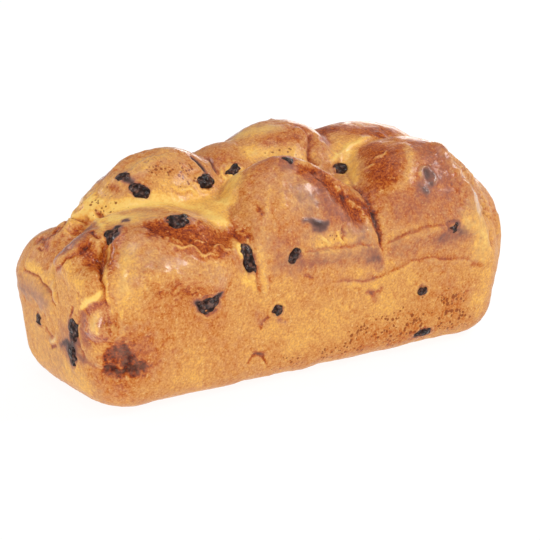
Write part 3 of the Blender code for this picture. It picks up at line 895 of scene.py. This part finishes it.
def crust_material():
    """Egg-washed crust: tones of baking with painted shade and highlights in places, fine mottling, pores,
    chocolate stains whose pink end is also a painted sheen, and a soft gloss.
    """
    nodes = Nodes("crust_look")
    tone = nodes.attribute("tone")
    for size, detail, stretch, amount in MOTTLING:
        tone = nodes.shift(tone, nodes.noise(size, detail, stretch, 0.6), amount)
    colour = nodes.ramp(tone, CRUST_TONES)

    flecks = nodes.spread(nodes.noise(1.3 * MM, 1.0), 0.62, 0.76, 0.0, 0.38)
    flecks = nodes.maths("MULTIPLY", flecks, nodes.spread(tone, 0.60, 0.80, 1.0, 0.0))
    colour = nodes.mix(flecks, colour, linear(*FLECK))

    speckle = nodes.spread(nodes.noise(8 * MM), 0.30, 0.52)
    speckle = nodes.maths("MULTIPLY", nodes.attribute("speckle"), speckle)
    pores = None
    for size, widest in PORES:
        cells = nodes.add("ShaderNodeTexVoronoi", {"Vector": nodes.place(), "Scale": 1 / size})
        chance = nodes.add("ShaderNodeSeparateColor", {"Color": cells.outputs["Color"]}).outputs[0]
        radius = nodes.maths("MULTIPLY", nodes.spread(chance, 0.10, 1.0, 0.0, widest), speckle)
        inside = nodes.maths("SUBTRACT", radius, cells.outputs["Distance"])
        pore = nodes.spread(inside, -0.02, 0.10, 0.0, 0.85)
        pores = nodes.maths("MAXIMUM", pores, pore) if pores else pore
    colour = nodes.mix(pores, colour, linear(*PORE))

    # purple is melted chocolate's stain and, in some strokes, a painted pink sheen
    purple = nodes.shift(nodes.attribute("purple"), nodes.noise(3.0 * MM, 3.0), 0.55)
    purple = nodes.maths("MULTIPLY", purple, nodes.spread(nodes.attribute("purple"), 0.0, 0.08), clamp=True)
    stain_and_sheen = nodes.ramp(purple, MELT_AND_SHEEN_TONES)
    colour = nodes.mix(nodes.maths("MULTIPLY", purple, 1.7, clamp=True), colour, stain_and_sheen)

    gloss = nodes.shift(nodes.attribute("gloss"), nodes.noise(5 * MM, 3.0), 0.45)
    wrinkles = nodes.noise(1.6 * MM, 4.0, (1, 1, 0.6), 0.65)
    evenness = nodes.spread(nodes.attribute("gloss"), 0.5, 1.0, 0.25, 0.0)
    nodes.fill(nodes.shader, {
        "Base Color": colour,
        "Roughness": nodes.spread(gloss, 0.0, 1.0, 0.58, 0.36),
        "Specular IOR Level": 0.18,
        "Normal": nodes.bump(wrinkles, 0.7, 0.5 * MM),
        "Coat Weight": nodes.spread(gloss, 0.15, 1.0, 0.02, 1.0),
        "Coat Roughness": 0.20,
        "Coat Normal": nodes.bump(wrinkles, evenness, 0.4 * MM),
        "Sheen Weight": 0.30,
        "Sheen Roughness": 0.20,
    })
    return nodes.material


def chocolate_material():
    """Dark chocolate that melted and set: near black brown, dull, with glints of a broken gloss."""
    nodes = Nodes("chocolate_look")
    lumps = nodes.bump(nodes.noise(1.4 * MM, 3.0), 1.0, 0.9 * MM)
    nodes.fill(nodes.shader, {
        "Base Color": nodes.ramp(nodes.noise(2.0 * MM, 4.0, roughness=0.6), CHOCOLATE_TONES),
        "Roughness": 0.6,
        "Specular IOR Level": 0.15,
        "Normal": lumps,
        "Coat Weight": nodes.spread(nodes.noise(1.5 * MM, 2.0), 0.46, 0.60),
        "Coat Roughness": 0.12,
        "Coat Normal": lumps,
    })
    return nodes.material


# ------------------------ pieces


def crust():
    """The loaf's visible crust, which stands for the dough's solid."""
    piece = shaped_crust()
    # pressing the dough into the mould leaves an empty slot
    piece.data.materials.clear()
    piece.data.materials.append(crust_material())
    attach(piece, "root")
    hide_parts("loaf")
    return piece


def chocolate(number, node, finish, dough):
    """A chunk with a broken surface, in the place of its solid and pressed into the dough."""
    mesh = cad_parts[node].data.copy()
    bm = bmesh.new()
    bm.from_mesh(mesh)
    bmesh.ops.remove_doubles(bm, verts=bm.verts, dist=0.01 * MM)
    bmesh.ops.subdivide_edges(bm, edges=bm.edges, cuts=CHUNK_CUTS, use_grid_fill=True, smooth=CHUNK_ROUNDING)
    bm.normal_update()
    for point in bm.verts:
        coarse = noise.noise(point.co / CHUNK_LUMP_SIZE + Vector((number, 0, 0)))
        fine = noise.noise(point.co / CHUNK_GRAIN_SIZE + Vector((0, number, 0)))
        point.co += point.normal * (CHUNK_LUMPS * coarse + CHUNK_GRAIN * fine)
    for point in bm.verts:
        place, normal, _, _ = dough.find_nearest(point.co)
        rise = (point.co - place).dot(normal)
        if rise > 0:
            point.co -= normal * rise * CHUNK_PRESS
    bm.to_mesh(mesh)
    bm.free()
    piece = object_of(f"chocolate_{number:02d}", mesh)
    piece.data.materials.clear()
    piece.data.materials.append(finish)
    piece.data.shade_smooth()
    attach(piece, "root")
    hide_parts(node)


def set_camera():
    """The photograph's viewing angle."""
    back = view_axes()[0]
    data = bpy.data.cameras.new("camera")
    data.lens = CAMERA_LENS
    data.sensor_width = CAMERA_SENSOR
    camera = object_of("camera", data)
    camera.location = CAMERA_TARGET + back * CAMERA_DISTANCE
    camera.rotation_euler = back.to_track_quat("Z", "Y").to_euler()
    bpy.context.scene.camera = camera


def softbox(name, place, width, height, power):
    """A soft light that looks at the loaf."""
    data = bpy.data.lights.new(name, "AREA")
    data.shape = "RECTANGLE"
    data.size = width
    data.size_y = height
    data.energy = power
    light = object_of(name, data)
    light.location = place
    light.rotation_euler = (Vector(place) - CAMERA_TARGET).to_track_quat("Z", "Y").to_euler()


def set_studio():
    """White surroundings, soft lights on every side and a pale floor."""
    scene = bpy.context.scene
    scene.view_settings.view_transform = "Standard"
    world = bpy.data.worlds.new("studio")
    world.use_nodes = True
    background = world.node_tree.nodes["Background"]
    background.inputs["Color"].default_value = (1, 1, 1, 1)
    background.inputs["Strength"].default_value = WORLD_LIGHT
    scene.world = world
    for light in LIGHTS:
        softbox(*light)
    bm = bmesh.new()
    bmesh.ops.create_grid(bm, x_segments=1, y_segments=1, size=FLOOR_HALF)
    floor = object_of("floor", mesh_of("floor", bm))
    look = Nodes("floor_look")
    look.fill(look.shader, {
        "Base Color": (FLOOR_GREY, FLOOR_GREY, FLOOR_GREY, 1),
        "Roughness": 0.9,
        "Emission Color": (1, 1, 1, 1),
        "Emission Strength": FLOOR_GLOW,
    })
    floor.data.materials.append(look.material)


set_camera()
set_studio()
crust_tree = tree_of(crust().data)
chocolate_look = chocolate_material()
for number, node in enumerate(sorted(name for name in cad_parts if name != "loaf"), 1):
    chocolate(number, node, chocolate_look, crust_tree)
